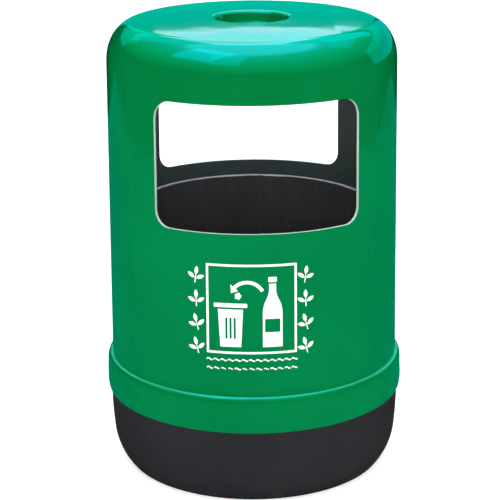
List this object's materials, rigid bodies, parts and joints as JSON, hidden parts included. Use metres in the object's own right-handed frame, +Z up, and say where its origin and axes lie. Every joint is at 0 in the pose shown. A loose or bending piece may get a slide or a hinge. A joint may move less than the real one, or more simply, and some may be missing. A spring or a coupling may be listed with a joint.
{
  "type": "litter bin",
  "caption": "Round hooded litter bin in glass-fibre laminate: lift-off green hood with opposed mouths and ash recess, black base, locked at the back, bucket with bail.",
  "frame": {"origin": "on the ground under the bin's axis", "axes": "+Z up along the bin's axis; -Y to the front mouth; +Y to the back with the lock"},
  "size_m": [0.4524, 0.4524, 0.6822],
  "materials": {
    "green_gelcoat": "glossy green gelcoat on glass-fibre laminate",
    "charcoal_gelcoat": "semi-gloss charcoal gelcoat on glass-fibre laminate",
    "black_coated_steel": "black coated sheet steel",
    "galvanised_steel": "zinc coated steel",
    "plated_lock": "satin nickel plated",
    "black_grip": "matt moulded sleeve"
  },
  "bodies": {
    "base": {"base_shell": "charcoal_gelcoat", "anchor_ring": "galvanised_steel", "anchor_rivets": "galvanised_steel", "keeper": "galvanised_steel", "keeper_rivets": "galvanised_steel"},
    "hood": {"hood_shell": "green_gelcoat", "lock_housing": "plated_lock", "lock_washer": "galvanised_steel", "lock_nut": "plated_lock"},
    "lock": {"lock_plug": "plated_lock", "lock_cam": "galvanised_steel", "cam_washer": "galvanised_steel", "lock_screw": "galvanised_steel"},
    "liner": {"liner_body": "black_coated_steel", "liner_rim_wire": "galvanised_steel", "liner_bottom": "black_coated_steel", "liner_ears": "black_coated_steel", "ear_rivets": "galvanised_steel"},
    "bail": {"bail_wire": "galvanised_steel", "bail_grip": "black_grip"}
  },
  "joints": [
    {"name": "hood_lift", "type": "slide", "parent": "base", "child": "hood", "axis": [0, 0, 1], "range_m": [0, 0.9]},
    {"name": "lock_turn", "type": "hinge", "parent": "hood", "child": "lock", "pos_m": [0, 0.215, 0.143], "axis": [0, -1, 0], "range_deg": [0, 90]},
    {"name": "liner_lift", "type": "slide", "parent": "base", "child": "liner", "axis": [0, 0, 1], "range_m": [0, 0.405]},
    {"name": "bail_swing", "type": "hinge", "parent": "liner", "child": "bail", "pos_m": [0, 0, 0.376], "axis": [-1, 0, 0], "range_deg": [0, 222]}
  ],
  "couplings": [
    {"joint": "liner_lift", "follows": "hood_lift", "ratio": 0.45}
  ]
}
